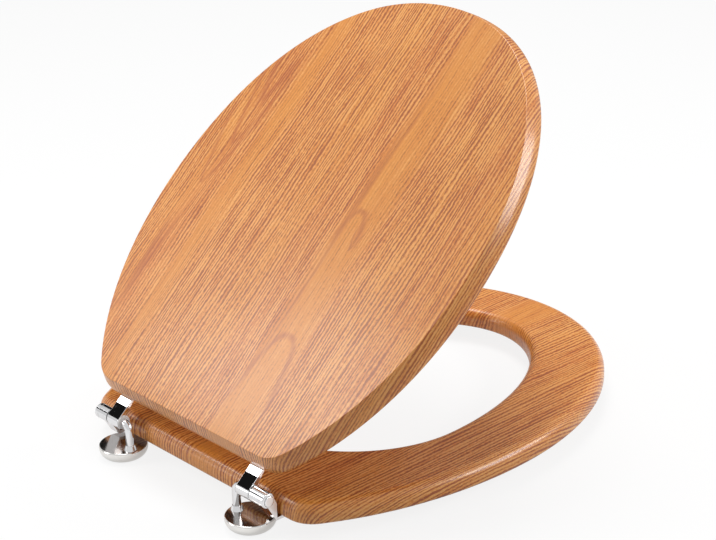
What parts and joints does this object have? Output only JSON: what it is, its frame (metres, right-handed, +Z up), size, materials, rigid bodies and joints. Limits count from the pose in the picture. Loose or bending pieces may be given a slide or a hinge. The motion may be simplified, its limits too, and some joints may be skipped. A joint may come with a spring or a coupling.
{
  "type": "toilet seat",
  "caption": "Oak-effect toilet seat: a flat lid, part open, over a rounded seat ring, both turning on chrome disc hinges that bolt to the bowl.",
  "frame": {"origin": "on the bowl's rim, midway between the bolt holes", "axes": "+X to the right seen from behind, +Y to the front of the seat, +Z up"},
  "size_m": [0.378, 0.4622, 0.3452],
  "materials": {
    "oak_foil": "satin lacquered oak-effect foil",
    "chrome": "polished",
    "black_rubber": "matte",
    "buffer_rubber": "matte, off-white",
    "dark_nylon": "matte",
    "white_nylon": "matte, off-white",
    "screw_steel": "zinc plated"
  },
  "bodies": {
    "base": {"base_disc_right": "chrome", "base_disc_left": "chrome", "base_pad_right": "black_rubber", "base_pad_left": "black_rubber", "hinge_post_right": "chrome", "hinge_post_left": "chrome"},
    "seat": {"seat_ring": "oak_foil", "seat_bracket_right": "chrome", "seat_bracket_left": "chrome", "seat_bracket_screws": "screw_steel", "seat_bush_right": "dark_nylon", "seat_bush_left": "dark_nylon", "barrel_cap_right": "chrome", "barrel_cap_left": "chrome", "seat_buffers": "buffer_rubber", "seat_buffer_screws": "screw_steel"},
    "lid": {"lid": "oak_foil", "lid_strap_right": "chrome", "lid_strap_left": "chrome", "lid_strap_screws": "screw_steel", "lid_bush_right": "white_nylon", "lid_bush_left": "white_nylon", "lid_buffers": "buffer_rubber", "lid_buffer_nails": "screw_steel"}
  },
  "joints": [
    {"name": "seat_hinge", "type": "hinge", "parent": "base", "child": "seat", "pos_m": [0, -0.0026, 0.0329], "axis": [1, 0, 0], "range_deg": [0, 95]},
    {"name": "lid_hinge", "type": "hinge", "parent": "seat", "child": "lid", "pos_m": [0, -0.0026, 0.0329], "axis": [1, 0, 0], "range_deg": [-41.7, 50]}
  ]
}
